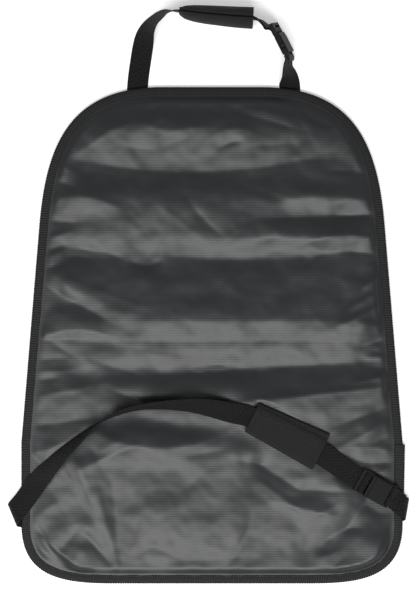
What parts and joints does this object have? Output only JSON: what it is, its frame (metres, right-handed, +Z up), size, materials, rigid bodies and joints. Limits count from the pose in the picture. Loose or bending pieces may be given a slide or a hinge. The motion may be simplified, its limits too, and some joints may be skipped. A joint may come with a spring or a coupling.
{
  "type": "car seat back organizer",
  "caption": "Black seat back mat with pockets on its hidden front, bound edge, headrest strap loop and seat strap with side-release buckles, lying on its front.",
  "frame": {"origin": "centre of the bounding box, on the surface that the organizer lies on", "axes": "+Z up from its pocket side to its back, +Y from the bottom edge to the headrest strap, +X to the side with the seat strap's buckle"},
  "size_m": [0.4812, 0.6918, 0.0389],
  "materials": {
    "panel_fabric": "satin coated weave",
    "binding_tape": "matte ribbed tape",
    "webbing": "matte woven webbing",
    "keeper_pad": "matte brushed",
    "buckle_plastic": "moulded satin"
  },
  "bodies": {
    "root": {"back_panel": "panel_fabric", "front_panel": "panel_fabric", "edge_binding": "binding_tape", "upper_pocket": "panel_fabric", "upper_pocket_hem": "binding_tape", "lower_pocket": "panel_fabric", "lower_pocket_hem": "binding_tape", "seat_strap": "webbing", "seat_tab": "webbing", "seat_keeper": "keeper_pad", "seat_buckle_male": "buckle_plastic", "seat_buckle_female": "buckle_plastic", "headrest_strap": "webbing", "headrest_tab": "webbing", "headrest_keeper": "keeper_pad", "headrest_buckle_male": "buckle_plastic", "headrest_buckle_female": "buckle_plastic"}
  },
  "joints": []
}
